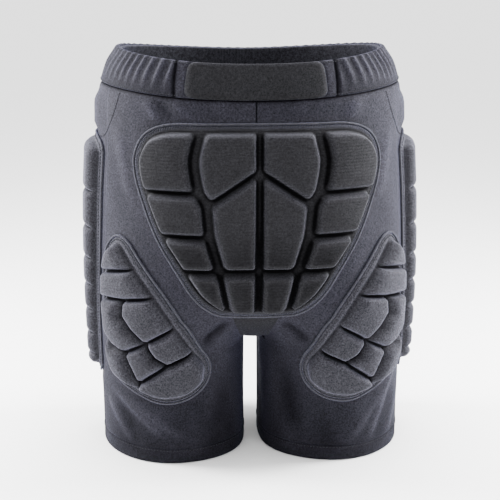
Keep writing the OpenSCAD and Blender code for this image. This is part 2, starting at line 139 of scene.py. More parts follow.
def skin(angle, z):
    """Points of the right half: angle is 0 at the side, 90 at the front, -90 at the back."""
    angle, z = np.broadcast_arrays(np.asarray(angle, float), np.asarray(z, float))
    c = axis_x(z)
    past = np.radians(np.abs(angle) - 90)
    turn = np.radians(angle)
    depth = np.where(angle > 0, profile(FRONT, z), profile(BACK, z))
    outer = mix(c, profile(WIDTH, z), np.cos(turn))
    reach = np.where(z <= CROTCH_H, c - gap_at(z) * np.sin(past) ** 6, c / closure(z))
    inner = c - reach * np.sin(past)
    x = np.where(past <= 0, outer, inner)
    return np.stack([x, AXIS_Y + depth * np.sin(turn), z], -1)


def outward(angle, z):
    step = 0.5
    across = skin(angle + step, z) - skin(angle - step, z)
    up = skin(angle, z + step) - skin(angle, z - step)
    n = np.cross(across, up)
    return n / np.linalg.norm(n, axis=-1, keepdims=True)


def raised(angle, z, h):
    """Points at the height h above the fabric's outer face."""
    angle, z = np.asarray(angle, float), np.asarray(z, float)
    return skin(angle, z) + np.asarray(h, float)[..., None] * outward(angle, z)


def angle_past(z, x):
    c = axis_x(z)
    return 90 + np.degrees(np.arcsin(np.clip(closure(z) * (c - x) / c, 0, 1)))


def angle_at_x(x, z):
    c = axis_x(z)
    wide = profile(WIDTH, z) - c
    outer = -np.degrees(np.arccos(np.clip((x - c) / wide, -1, 1)))
    return np.where(x > c, outer, -angle_past(z, x))


def quarter_angle(u, z):
    """u counts quarter turns: 0 at the side, 1 at the leg axis, 2 at the middle."""
    inner = mix(90, angle_past(z, 0.0), np.abs(u) - 1)
    return np.sign(u) * np.where(np.abs(u) <= 1, 90 * np.abs(u), inner)


def rim_drop(turn):
    """How far the rim lies below its sides. It follows the distance from the middle."""
    t = np.minimum(np.abs(turn), 4 - np.abs(turn))
    curved = mix(FLAT_X, WAIST_HALF_W, np.sin(np.radians(90 * (t - 1))))
    x = np.where(t <= 1, FLAT_X * t, curved)
    return RIM_DIP * (1 - (x / WAIST_HALF_W) ** 2)


# ---------------------------------------------------------------- Meshes


def new_object(name, points, faces, material):
    mesh = bpy.data.meshes.new(name)
    mesh.from_pydata([tuple(p) for p in np.asarray(points) * MM], [], faces)
    mesh.update()
    mesh.polygons.foreach_set("use_smooth", [True] * len(mesh.polygons))
    mesh.materials.append(material)
    obj = bpy.data.objects.new(name, mesh)
    bpy.context.scene.collection.objects.link(obj)
    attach(obj, "root")
    return obj


def set_tone_and_painted_light(obj, values):
    """Lightness of each point's cloth, mostly painted light and shade: up to 1 lighter, down to -1
    darker.
    """
    layer = obj.data.attributes.new("tone_and_painted_light", "FLOAT", "POINT")
    layer.data.foreach_set("value", np.asarray(values, np.float32))


def grid_faces(rows, cols, closed, start, flip):
    """Faces of a grid of points; closed joins its last column to its first."""
    r = np.arange(rows - 1)[:, None]
    c = np.arange(cols if closed else cols - 1)[None, :]
    a = r * cols + c
    b = r * cols + (c + 1) % cols
    quads = np.stack([a, b, b + cols, a + cols], -1).reshape(-1, 4) + start
    return quads[:, ::-1].tolist() if flip else quads.tolist()


def closed_sheet(outer, inner, ring):
    """Points and faces of the solid between two grids of points."""
    rows, cols = outer.shape[:2]
    half = rows * cols
    points = np.concatenate([outer.reshape(-1, 3), inner.reshape(-1, 3)])
    faces = grid_faces(rows, cols, ring, 0, False) + grid_faces(rows, cols, ring, half, True)
    index = np.arange(half).reshape(rows, cols)
    if ring:
        loops = [index[0][::-1], index[-1]]
    else:
        rim = [index[0, :-1], index[:-1, -1], index[-1, :0:-1], index[:0:-1, 0]]
        loops = [np.concatenate(rim)[::-1]]
    for loop in loops:
        for a, b in zip(loop.tolist(), np.roll(loop, -1).tolist()):
            faces.append([a, b, b + half, a + half])
    return points, faces


def scaled_x(points, factor):
    """The points again, with each x times a factor."""
    points = np.array(points, float)
    points[..., 0] *= factor
    return points


def mirrored(points):
    return scaled_x(points, -1.0)


def to_side(points, side):
    """Points of the right half as drawn, or their mirror images on the left."""
    return mirrored(points) if side < 0 else points


def on_side(points, faces, side):
    """The right-hand piece as drawn, or the left-hand one as its mirror image."""
    return to_side(points, side), faces if side > 0 else [f[::-1] for f in faces]


def circles(side, up, sides):
    """Points of a circle of radius 1 across each direction."""
    a = np.linspace(0, 2 * np.pi, sides, endpoint=False)[None, :, None]
    return side[:, None] * np.cos(a) + up[:, None] * np.sin(a)


def tube(route, radius, sides):
    """Points and faces of a tube along a closed route of points."""
    ahead = np.roll(route, -1, 0) - np.roll(route, 1, 0)
    ahead /= np.linalg.norm(ahead, axis=1, keepdims=True)
    side = np.cross(ahead, [0, 0, 1.0])
    thin = np.linalg.norm(side, axis=1) < 0.2
    side[thin] = np.cross(ahead[thin], [0, 1.0, 0])
    side /= np.linalg.norm(side, axis=1, keepdims=True)
    points = route[:, None] + circles(side, np.cross(side, ahead), sides) * radius
    n = len(route)
    faces = []
    for i in range(n):
        j = (i + 1) % n
        for k in range(sides):
            m = (k + 1) % sides
            faces.append([i * sides + k, j * sides + k, j * sides + m, i * sides + m])
    return points.reshape(-1, 3), faces


# ---------------------------------------------------------------- Materials


def node_material(name):
    material = bpy.data.materials.new(name)
    material.use_nodes = True
    tree = material.node_tree
    shader = tree.nodes["Principled BSDF"]
    return material, tree, shader


def add(tree, kind, **values):
    node = tree.nodes.new(kind)
    for key, value in values.items():
        if key.startswith("in_"):
            node.inputs[int(key[3:])].default_value = value
        else:
            setattr(node, key, value)
    return node


def fabric(name, dark, light, grain=2600.0, rib=0.0, sheen=0.6, rough=0.85,
           tint=(0.46, 0.47, 0.92, 1), relief=0.35):
    """Knitted fabric: a heather of dark and light yarn, a fine loop bump and a soft sheen.

    Painted light and shade: a point attribute makes the base colour lighter on the crests of the cloth
    and darker in its grooves and other shaded places, and dims the sheen and specular where it is low.
    """
    material, tree, shader = node_material(name)
    link = tree.links.new
    coords = add(tree, "ShaderNodeTexCoord")
    yarn = add(tree, "ShaderNodeTexNoise", in_2=grain, in_3=2.0, in_4=0.6)
    heather = add(tree, "ShaderNodeTexNoise", in_2=0.24 * grain, in_3=3.0, in_4=0.8)
    cloud = add(tree, "ShaderNodeTexNoise", in_2=30.0, in_3=4.0, in_4=0.6)
    for noise in (yarn, heather, cloud):
        link(coords.outputs["Object"], noise.inputs["Vector"])
    both = add(tree, "ShaderNodeMath", operation="ADD")
    link(yarn.outputs["Fac"], both.inputs[0])
    link(heather.outputs["Fac"], both.inputs[1])
    flecks = add(tree, "ShaderNodeMapRange", in_1=0.84, in_2=1.24)
    link(both.outputs["Value"], flecks.inputs["Value"])
    blend = add(tree, "ShaderNodeMix", data_type="RGBA")
    blend.inputs["A"].default_value = (*dark, 1)
    blend.inputs["B"].default_value = (*light, 1)
    link(flecks.outputs["Result"], blend.inputs["Factor"])
    vary = add(tree, "ShaderNodeMapRange", in_1=0.3, in_2=0.7, in_3=0.88, in_4=1.12)
    link(cloud.outputs["Fac"], vary.inputs["Value"])
    # Painted shade from the point attribute: crest darkens the colour down to 0.16 where it is low;
    # painted highlight: shine lightens it up to 2.1 times where it is high.
    painted_light_attribute = add(tree, "ShaderNodeAttribute", attribute_name="tone_and_painted_light")
    crest = add(tree, "ShaderNodeMapRange", in_1=-0.55, in_2=0.0, in_3=0.16, in_4=1.0)
    shine = add(tree, "ShaderNodeMapRange", in_1=0.05, in_2=0.8, in_3=1.0, in_4=2.1)
    link(painted_light_attribute.outputs["Fac"], crest.inputs["Value"])
    link(painted_light_attribute.outputs["Fac"], shine.inputs["Value"])
    tone = vary.outputs["Result"]
    for part in (crest, shine):
        times = add(tree, "ShaderNodeMath", operation="MULTIPLY")
        link(tone, times.inputs[0])
        link(part.outputs["Result"], times.inputs[1])
        tone = times.outputs["Value"]
    shade = add(tree, "ShaderNodeMix", data_type="RGBA", blend_type="MULTIPLY")
    shade.inputs["Factor"].default_value = 1.0
    link(blend.outputs["Result"], shade.inputs["A"])
    link(tone, shade.inputs["B"])
    link(shade.outputs["Result"], shader.inputs["Base Color"])
    height = both.outputs["Value"]
    if rib:
        wave = add(tree, "ShaderNodeTexWave", bands_direction="Z", in_1=rib, in_2=0.8)
        link(coords.outputs["Object"], wave.inputs["Vector"])
        joined = add(tree, "ShaderNodeMath", operation="ADD")
        link(height, joined.inputs[0])
        link(wave.outputs["Fac"], joined.inputs[1])
        height = joined.outputs["Value"]
    bumped = add(tree, "ShaderNodeBump", in_0=relief, in_1=0.0007)
    link(height, bumped.inputs["Height"])
    link(bumped.outputs["Normal"], shader.inputs["Normal"])
    shader.inputs["Roughness"].default_value = rough
    gloss = add(tree, "ShaderNodeMapRange", in_3=0.10, in_4=0.26)
    link(flecks.outputs["Result"], gloss.inputs["Value"])
    fuzz = add(tree, "ShaderNodeMapRange", in_3=0.35 * sheen, in_4=1.65 * sheen)
    link(flecks.outputs["Result"], fuzz.inputs["Value"])
    # Painted shade: the sheen and the specular are dimmed by the same factor.
    for source, socket in ((fuzz, "Sheen Weight"), (gloss, "Specular IOR Level")):
        times = add(tree, "ShaderNodeMath", operation="MULTIPLY")
        link(source.outputs["Result"], times.inputs[0])
        link(crest.outputs["Result"], times.inputs[1])
        link(times.outputs["Value"], shader.inputs[socket])
    shader.inputs["Sheen Roughness"].default_value = 0.35
    shader.inputs["Sheen Tint"].default_value = tint
    return material


SHELL = fabric("shell_knit", (0.0026, 0.0026, 0.0038), (0.0205, 0.0196, 0.0300), sheen=0.09)
PAD = fabric("pad_knit", (0.0036, 0.0036, 0.0048), (0.0285, 0.0280, 0.0355), sheen=0.30,
             tint=(0.60, 0.60, 0.84, 1))
PAD_RIBBED = fabric("pad_ribbed_knit", (0.0024, 0.0024, 0.0030), (0.0105, 0.0104, 0.0130),
                    rib=110.0, sheen=0.16, tint=(0.66, 0.66, 0.82, 1))
PATCH = fabric("patch_knit", (0.0016, 0.0016, 0.0021), (0.0080, 0.0080, 0.0100), sheen=0.05)
BINDING = fabric("binding", (0.010, 0.010, 0.0125), (0.050, 0.050, 0.062), grain=3400.0,
                 sheen=0.2)
THREAD = fabric("thread", (0.003, 0.003, 0.004), (0.012, 0.012, 0.015), grain=5200.0, sheen=0.06)
LINING = fabric("lining_mesh", (0.0045, 0.0045, 0.0065), (0.020, 0.020, 0.027), grain=1500.0,
                sheen=0.1)
ELASTIC = fabric("woven_elastic", (0.30, 0.30, 0.31), (0.50, 0.50, 0.50), rib=160.0, sheen=0.1,
                 tint=(1, 1, 1, 1))
FOAM = fabric("closed_cell_foam", (0.10, 0.10, 0.11), (0.18, 0.18, 0.19), grain=1900.0,
              sheen=0.05, tint=(1, 1, 1, 1))

# ---------------------------------------------------------------- Pad drawings

SEAT_RIM = [
    (53, 327), (84, 327), (102, 319), (110, 301), (109, 285), (105, 269), (91, 229), (71, 197),
    (57, 173), (42, 160), (28, 155),
]
TOP, MID, LOW, TIP = (0, 327), (0, 289), (0, 197), (0, 154)
CURVE, BEND, FORK, KNEE = (59, 300), (57, 281), (54, 269), (48, 258)
HOOK, TAIL = (45, 229), (36, 197)
SEAT_CELLS = {
    "upper_inner": [TOP, SEAT_RIM[0], CURVE, BEND, FORK, KNEE, MID],
    "upper_outer": [*SEAT_RIM[:6], FORK, BEND, CURVE],
    "middle_inner": [MID, KNEE, HOOK, TAIL, LOW],
    "middle_outer": [FORK, SEAT_RIM[5], SEAT_RIM[6], HOOK, KNEE],
    "lower_outer": [HOOK, SEAT_RIM[6], SEAT_RIM[7], TAIL],
    "tail_inner": [LOW, TAIL, SEAT_RIM[10], TIP],
    "tail_outer": [TAIL, *SEAT_RIM[7:11]],
}
# The widest groove runs down between the inner and the outer cells
SEAT_CHANNEL = [SEAT_RIM[0], CURVE, BEND, FORK, KNEE, HOOK, TAIL]

# Thigh pad: degrees round the leg from the side to the back, and height
THIGH_RADIUS = 80.0
THIGH_POINTS = [
    (40, 220), (32, 209), (30, 186), (54, 194), (32, 161), (51, 164), (70, 170), (36, 130),
    (52, 149), (60, 137), (71, 125), (88, 143), (46, 118), (56, 113), (38, 105), (44, 86),
    (64, 75), (66, 83), (86, 104), (77, 112), (103, 117), (82, 67), (100, 72), (111, 86),
    (112, 102),
]
THIGH_CELLS = [
    [0, 1, 2, 3], [2, 4, 5, 6, 3], [4, 7, 12, 13, 10, 9, 8, 5], [5, 8, 9, 10, 11, 6],
    [7, 14, 15, 16, 17, 13, 12], [13, 17, 18, 19, 10], [10, 19, 18, 20, 11],
    [17, 16, 21, 22, 23, 24, 20, 18],
]
THIGH_RIM = [0, 1, 2, 4, 7, 14, 15, 16, 21, 22, 23, 24, 20, 11, 6, 3]

HIP_TOP = 308.0
HIP_MIDDLE = 8.0
HIP_ROWS = [50, 36, 31, 27, 26, 25, 22, 15]
HIP_LOW = HIP_TOP - sum(HIP_ROWS)

GUSSET_TOP, GUSSET_HALF_W = 158.0, 27.0
# Width of the border outside each pad's outermost groove
SEAT_BORDER, THIGH_BORDER, HIP_BORDER = 4.0, 4.5, 4.5
PIPING_R, PIPING_OUT = 1.15, 1.3


# The seat pad's lean to the right in mm, at its low tip and at its top
SEAT_LEAN = (1.0, 2.7)
# Below this height the seat pad's tail starts to bridge the gusset
BRIDGE_H = 192.0


def seat_place(p, h, bridge=GUSSET_HALF_W):
    """The seat pad is sewn on with a slight lean, and its tail bridges the gusset."""
    z = p[:, 1]
    x = p[:, 0] + mix(*SEAT_LEAN, (z - TIP[1]) / (TOP[1] - TIP[1]))
    base = np.maximum(np.abs(x), bridge * smooth((BRIDGE_H - z) / (BRIDGE_H - GUSSET_TOP)) + 0.001)
    return scaled_x(raised(angle_at_x(base, z), z, h), x / base)


def seat_lining_place(p, h):
    """The lining lies on the shell all the way down, behind the bridge."""
    return seat_place(p, h, 0.0)


def thigh_place(p, h):
    return raised(np.degrees(p[:, 0] / THIGH_RADIUS), p[:, 1], h)


def hip_place(p, h):
    depth = np.where(p[:, 0] > 0, profile(FRONT, p[:, 1]), profile(BACK, p[:, 1]))
    return raised(np.degrees(np.arcsin(np.clip(p[:, 0] / depth, -1, 1))), p[:, 1], h)


def area(loop):
    x, y = loop[:, 0], loop[:, 1]
    return 0.5 * np.sum(x * np.roll(y, -1) - np.roll(x, -1) * y)


def anticlockwise(loop):
    loop = np.asarray(loop, float)
    return loop[::-1] if area(loop) < 0 else loop


def inset(loop, d):
    """Moves each edge of an anticlockwise loop inwards by d."""
    before, after = loop - np.roll(loop, 1, 0), np.roll(loop, -1, 0) - loop
    na = np.stack([-before[:, 1], before[:, 0]], -1) / np.linalg.norm(before, axis=1)[:, None]
    nb = np.stack([-after[:, 1], after[:, 0]], -1) / np.linalg.norm(after, axis=1)[:, None]
    return loop + d * (na + nb) / (1 + (na * nb).sum(1))[:, None]


def eased(loop, passes):
    """Rounds the corners of a closed loop by cutting them again and again."""
    for _ in range(passes):
        after = np.roll(loop, -1, 0)
        loop = np.stack([mix(loop, after, 0.25), mix(loop, after, 0.75)], 1).reshape(-1, 2)
    return loop


def looped(route):
    """The route again, with its first point repeated at its end."""
    return np.concatenate([route, route[:1]])


def length_along(route):
    """The distance of each point from the first one, along the route."""
    return np.concatenate([[0], np.cumsum(np.linalg.norm(np.diff(route, axis=0), axis=1))])


def points_at(route, along, at):
    """Points at the places at of a route whose own points lie at along."""
    return np.stack([np.interp(at, along, route[:, k]) for k in range(route.shape[1])], -1)


def evenly(loop, step):
    """The closed loop again, with points about step apart."""
    closed = looped(loop)
    along = length_along(closed)
    at = np.linspace(0, along[-1], max(8, round(along[-1] / step)), endpoint=False)
    return points_at(closed, along, at)


def distance_inside(points, loop):
    """Distance to the loop's edge, positive inside it."""
    a, b = loop, np.roll(loop, -1, 0)
    best = np.full(len(points), 1e9)
    inside = np.zeros(len(points), bool)
    x, y = points[:, 0], points[:, 1]
    for (ax, ay), (bx, by) in zip(a, b):
        dx, dy = bx - ax, by - ay
        t = np.clip(((x - ax) * dx + (y - ay) * dy) / max(dx * dx + dy * dy, 1e-9), 0, 1)
        best = np.minimum(best, np.hypot(x - ax - t * dx, y - ay - t * dy))
        if ay != by:
            inside ^= ((ay > y) != (by > y)) & (x < dx * (y - ay) / dy + ax)
    return np.where(inside, best, -best)


def distance_to(points, route):
    """Distance to an open line through the points of route."""
    best = np.full(len(points), 1e9)
    for a, b in zip(route[:-1], route[1:]):
        way = b - a
        t = np.clip((points - a) @ way / (way @ way), 0, 1)
        best = np.minimum(best, np.linalg.norm(points - a - t[:, None] * way, axis=1))
    return best


def soft_min(a, b, k):
    """The smaller of two values, with the corner between them rounded over k."""
    t = np.clip(0.5 + 0.5 * (b - a) / k, 0, 1)
    return mix(b, a, t) - k * t * (1 - t)


def curve(points, steps=8):
    """A smooth line through the points."""
    p = np.asarray(points, float)
    p = np.concatenate([[2 * p[0] - p[1]], p, [2 * p[-1] - p[-2]]])
    t = np.linspace(0, 1, steps, endpoint=False)[:, None]
    parts = [
        0.5 * (2 * b + (c - a) * t + (2 * a - 5 * b + 4 * c - d) * t**2
               + (3 * b - a - 3 * c + d) * t**3)
        for a, b, c, d in zip(p[:-3], p[1:-2], p[2:-1], p[3:])
    ]
    return np.concatenate(parts + [p[-2:-1]])


def blur(field, passes):
    for _ in range(passes):
        for axis in (0, 1):
            field = (np.roll(field, 1, axis) + 2 * field + np.roll(field, -1, axis)) / 4
    return field


class Relief:
    """The height of a moulded pad over its flat drawing, held on a fine raster, with painted light and
    shade on its cells.
    """

    STEP = 0.6

    def __init__(self, edge, border, cells, rise, crown=13.8, floor=3.0, soften=3,
                 glint=0.0, painted_low_shade=0.0):
        self.border = border
        self.low = edge.min(0) - 4
        size = np.ceil((edge.max(0) + 4 - self.low) / self.STEP).astype(int) + 1
        gx, gy = np.meshgrid(*[self.low[k] + self.STEP * np.arange(size[k]) for k in (0, 1)])
        flat = np.stack([gx.ravel(), gy.ravel()], -1)
        rim = distance_inside(flat, edge) - border
        share = np.zeros(len(flat))
        for cell in cells:
            box = (flat >= cell.min(0)).all(1) & (flat <= cell.max(0)).all(1)
            share[box] = np.maximum(share[box], rise(flat[box], cell, rim[box]))
        shape = size[::-1]
        self.field = mix(floor, crown, blur(share.reshape(shape), soften))
        # Painted light and shade: cells above the blurred field are lighter and grooves below it
        # darker; glint paints highlights on slopes that face up and outwards; the cells below 250 mm
        # are painted darker; all of it fades out at the border.
        tone_and_painted_light = self.field - blur(self.field, 30)
        lit = -np.gradient(self.field, self.STEP, axis=0)
        lit -= np.gradient(self.field, self.STEP, axis=1) * np.sign(gx) * 0.8
        self.tone_and_painted_light = np.clip(tone_and_painted_light / 3.2, -1, 1) + glint * np.clip(lit, -0.3, 1.5)
        self.tone_and_painted_light = (self.tone_and_painted_light - painted_low_shade * smooth((250 - gy) / 50)) * smooth(
            rim.reshape(shape) / 2)

    def sample(self, field, p):
        q = (p - self.low) / self.STEP
        limit = np.array(field.shape[::-1]) - 2
        i = np.clip(np.floor(q).astype(int), 0, limit)
        f = np.clip(q - i, 0, 1)
        x, y = i[:, 0], i[:, 1]
        low = mix(field[y, x], field[y, x + 1], f[:, 0])
        high = mix(field[y + 1, x], field[y + 1, x + 1], f[:, 0])
        return mix(low, high, f[:, 1])


def rounded_inside(points, cell, gap, r):
    """Distance into a cell that lies gap inside its loop and has corners of radius r."""
    return distance_inside(points, inset(cell, gap + r)) + r


def plateau(channel):
    """Flat-topped cells with short slopes, and a wider groove along the channel lines."""
    def rise(points, cell, rim):
        d = rounded_inside(points, cell, 1.5, 4.0)
        d = soft_min(d, distance_to(points, centre_line) - 2.3, 2.0)
        d = soft_min(d, rim - 2.2, 2.0)
        for line in channel:
            d = soft_min(d, distance_to(points, line) - 3.4, 5.0)
        return 0.92 * smooth(d / 3.4) + 0.08 * smooth(d / 16)
    return rise


def roof(lean, wide, narrow):
    """Cells that slope gently towards lean and fall steeply on their other sides."""
    lean = np.array(lean) / np.hypot(*lean)

    def rise(points, cell, rim):
        d = soft_min(rounded_inside(points, cell, 0.7, 2.5), rim - 1.2, 2.0)
        t = d / narrow
        for a, b in zip(cell, np.roll(cell, -1, 0)):
            along = (b - a) / np.linalg.norm(b - a)
            out = np.array([along[1], -along[0]])
            width = mix(narrow, wide, smooth((out @ lean - 0.2) / 0.6))
            if width > narrow:
                t = soft_min(t, (distance_to(points, np.array([a, b])) - 0.7) / width, 0.25)
        t = np.clip(t, 0, 1)
        return 0.9 * (1 - (1 - t) ** 2) + 0.1 * smooth(d / 12)

    return rise


def pillow(points, cell, rim):
    """Stuffed rows with shallow grooves between them, falling away at both ends."""
    d = rounded_inside(points, cell, 0.5, 1.5)
    t = np.clip(d / 6.0, 0, 1)
    ends = np.clip(rim / 11, 0, 1)
    return (0.5 + 0.5 * np.sqrt(1 - (1 - t) ** 2)) * np.sqrt(1 - (1 - ends) ** 2)


def border_height(d, border):
    """Height of a pad's border at the distance d in from its edge, with a rolled welt."""
    welt = 1.2 * bump((d - border + 0.2) / 1.0)
    return 1.3 + 0.9 * smooth(d / 1.2) + welt


def flat_mesh(edge, step):
    """Points and triangles that fill the loop edge, whose own points come first."""
    low, high = edge.min(0), edge.max(0)
    xs = np.arange(low[0], high[0], step)
    ys = np.arange(low[1], high[1], step * 0.87)
    gx, gy = np.meshgrid(xs, ys)
    gx = gx + (np.arange(len(ys)) % 2)[:, None] * step / 2
    inner = np.stack([gx.ravel(), gy.ravel()], -1)
    inner = inner[distance_inside(inner, edge) > 0.6 * min(step, 2)]
    flat = np.concatenate([edge, inner])
    n = len(edge)
    ring = [(i, (i + 1) % n) for i in range(n)]
    made = geometry.delaunay_2d_cdt([Vector(p) for p in flat], ring, [], 1, 1e-7)
    points = np.array([tuple(p) for p in made[0]])
    came_from = made[3]
    index = np.full(len(points), -1)
    for new, old in enumerate(came_from):
        if old:
            index[new] = min(old)
    order = np.argsort(np.where(index < 0, len(points) + 1, index), kind="stable")
    place = np.empty(len(points), int)
    place[order] = np.arange(len(points))
    return points[order], [[int(place[i]) for i in f] for f in made[2]]


def filled(edge, place, top_height, back_height, step, back_step=9.0):
    """A closed piece over the loop edge: a fine top, a plainer back and a wall between."""
    n = len(edge)
    top_flat, top_faces = flat_mesh(edge, step)
    back_flat, back_faces = flat_mesh(edge, back_step)
    top = place(top_flat, top_height(top_flat))
    back = place(back_flat, back_height)
    start = len(top)
    faces = top_faces + [[i + start for i in f][::-1] for f in back_faces]
    for a in range(n):
        b = (a + 1) % n
        faces.append([a, a + start, b + start, b])
    return np.concatenate([top, back]), faces


def border_tone_and_highlight(d, border, strip):
    """Painted highlight on the welt at the inner end of the border, and a strip of the given
    lightness.
    """
    welt = bump((d - border + 0.2) / 1.3)
    return (0.9 - strip) * welt + strip * (1 - smooth((d - border - 0.2) / 0.8))


def pad_skin(name, edge, shape, place, material, side, strip):
    """One moulded pad: its border, grooves and cells in one closed skin."""
    flats = []

    def height(p):
        flats.append(p)
        d = distance_inside(p, edge)
        share = smooth((d - shape.border - 0.4) / 1.4)
        h = mix(border_height(d, shape.border), shape.sample(shape.field, p), share)
        return np.where(d < 0.05, 0.9, h)

    points, faces = on_side(*filled(edge, place, height, 0.35, 1.0), side)
    obj = new_object(name, points, faces, material)
    # Painted light and shade from the relief and the border, on the top face only.
    tone_and_painted_light = np.zeros(len(points))
    d = distance_inside(flats[0], edge)
    tone_and_painted_light[:len(d)] = shape.sample(shape.tone_and_painted_light, flats[0]) + border_tone_and_highlight(d, shape.border, strip)
    set_tone_and_painted_light(obj, tone_and_painted_light)
    return obj


def rim_route(edge, d, height, place, side):
    """A line round a pad at the distance d in from its edge."""
    route = evenly(inset(evenly(edge, 2.0), d), 1.0)
    return to_side(place(route, height), side)


def piping(name, edge, place, side):
    """The bound cord sewn round a pad, its middle just outside the edge."""
    path = rim_route(edge, -PIPING_OUT, PIPING_R + 0.3, place, side)
    points, faces = tube(path, PIPING_R, 10)
    return new_object(name, points, faces, BINDING)


def rods(name, starts, ends, radius, material, sides=6):
    """Many short threads with rounded ends, from each start to each end, as one mesh."""
    starts, ends = np.asarray(starts, float), np.asarray(ends, float)
    axis = ends - starts
    keep = np.linalg.norm(axis, axis=1) > 0.1
    starts, ends, axis = starts[keep], ends[keep], axis[keep]
    axis = axis / np.linalg.norm(axis, axis=1, keepdims=True)
    side = np.cross(axis, [0.31, 0.52, 0.79])
    side /= np.linalg.norm(side, axis=1, keepdims=True)
    ring = circles(side, np.cross(side, axis), sides)
    levels = ((0, 0.35), (0.2, 1.0), (0.8, 1.0), (1, 0.35))
    points = np.stack([
        mix(starts, ends, t)[:, None] + radius * share * ring for t, share in levels], 1)
    count = len(starts)
    k = np.arange(sides)
    m = (k + 1) % sides
    base = (np.arange(count) * 4 * sides)[:, None]
    faces = []
    for row in range(3):
        low = base + row * sides
        faces += np.stack([low + k, low + sides + k, low + sides + m, low + m], -1).reshape(
            -1, 4).tolist()
    faces += (base + k).tolist()
    faces += (base + 3 * sides + k[::-1]).tolist()
    return new_object(name, points.reshape(-1, 3), faces, material)


def dashes(route, pitch, share, closed=True):
    """Starts and ends of stitches along a route."""
    if closed:
        route = looped(route)
    along = length_along(route)
    at = np.arange(0.3 * pitch, along[-1] - share * pitch, pitch)
    return points_at(route, along, at), points_at(route, along, at + pitch * share)


def stitch_rows(name, routes, pitch=3.2, share=0.66, radius=0.4, closed=True):
    pairs = [dashes(route, pitch, share, closed) for route in routes]
    starts, ends = (np.concatenate([pair[k] for pair in pairs]) for k in (0, 1))
    return rods(name, starts, ends, radius, THREAD)


def rope_stitch(name, edge, border, place, side, height=2.6, pitch=2.3):
    """Slanting overedge threads that cover the border like the strands of a rope."""
    near, far = 0.5, border - 0.7
    lines = []
    for d, h in ((near, height - 0.9), (0.5 * (near + far), height), (far, height - 0.6)):
        route = rim_route(edge, d, h, place, side)
        closed = looped(route)
        along = length_along(closed)
        lines.append((closed, along / along[-1]))
    count = int(len(route) / pitch)
    at = np.arange(count) / count
    slant = 0.9 / len(route)
    a, b, c = (points_at(line, along, (at + k * slant) % 1)
               for k, (line, along) in enumerate(lines))
    return rods(name, np.concatenate([a, b]), np.concatenate([b, c]), 0.62, BINDING)


# ---------------------------------------------------------------- Pad shapes

def pad_edge(loop, border):
    return evenly(eased(inset(loop, -border), 2), 1.0)


half_rim = np.array(SEAT_RIM, float)
SEAT_LOOP = anticlockwise(np.concatenate([half_rim, mirrored(half_rim)[::-1]]))
SEAT_EDGE = pad_edge(SEAT_LOOP, SEAT_BORDER)

thigh_flat = np.array([(-math.radians(a) * THIGH_RADIUS, z) for a, z in THIGH_POINTS])
THIGH_EDGE = pad_edge(anticlockwise(thigh_flat[THIGH_RIM]), THIGH_BORDER)


def hip_half_w(z):
    return mix(28.0, 40.0, smooth((z - HIP_LOW) / 120))


hip_levels = np.linspace(HIP_LOW, HIP_TOP, 9)
hip_front = np.stack([HIP_MIDDLE + hip_half_w(hip_levels), hip_levels], -1)
hip_back = np.stack([HIP_MIDDLE - hip_half_w(hip_levels), hip_levels], -1)
HIP_EDGE = pad_edge(anticlockwise(np.concatenate([hip_front, hip_back[::-1]])), HIP_BORDER)


def hip_row(i):
    high = HIP_TOP - sum(HIP_ROWS[:i])
    low = high - HIP_ROWS[i]
    a, b, m = hip_half_w(low), hip_half_w(high), HIP_MIDDLE
    return np.array([[m - a, low], [m + a, low], [m + b, high], [m - b, high]])


seat_cells = [anticlockwise(loop) for loop in SEAT_CELLS.values()]
seat_cells += [anticlockwise(mirrored(loop)) for loop in seat_cells]
thigh_cells = [anticlockwise(thigh_flat[order]) for order in THIGH_CELLS]
hip_cells = [hip_row(i) for i in range(len(HIP_ROWS))]
channel = curve(SEAT_CHANNEL)
centre_line = np.array([TOP, TIP], float)

# The seat pad gets painted highlights on its upward and outward slopes and painted shade on its lower
# cells.
SEAT_SHAPE = Relief(SEAT_EDGE, SEAT_BORDER, seat_cells,
                    plateau([channel, mirrored(channel)]), soften=4, glint=0.55,
                    painted_low_shade=0.3)
THIGH_SHAPE = Relief(THIGH_EDGE, THIGH_BORDER, thigh_cells, roof((-1.0, 0.3), 10.0, 3.2), soften=5)
HIP_SHAPE = Relief(HIP_EDGE, HIP_BORDER, hip_cells, pillow, soften=2)

# ---------------------------------------------------------------- Shell surface

# Soft folds of the shell: ends in elevation from behind (x, z), half-width and height in mm
FOLDS = [
    ((-101, 352), (-82, 322), 4.0, 1.6), ((-76, 350), (-60, 337), 3.0, 1.2),
    ((-92, 352), (-70, 328), 2.5, -1.0), ((96, 352), (84, 330), 5.0, 1.3),
    ((-30, 356), (-34, 342), 5.0, 0.9), ((44, 356), (38, 342), 5.0, 0.9),
    ((-134, 66), (-92, 30), 3.5, 1.2), ((-122, 62), (-70, 26), 3.5, 0.9),
    ((-142, 56), (-120, 18), 3.5, 1.0), ((138, 84), (112, 22), 4.0, 1.2),
    ((126, 64), (92, 22), 3.5, 0.8), ((144, 56), (134, 20), 3.5, 0.9),
    ((-26, 96), (-38, 34), 8.0, -0.4), ((26, 96), (38, 34), 8.0, -0.4),
    ((-26, 142), (-62, 112), 5.0, -1.6), ((26, 142), (62, 112), 5.0, -1.6),
    ((-116, 262), (-127, 318), 5.0, 1.2), ((116, 262), (127, 318), 5.0, 1.2),
]
FOLD_GAIN = 1.7


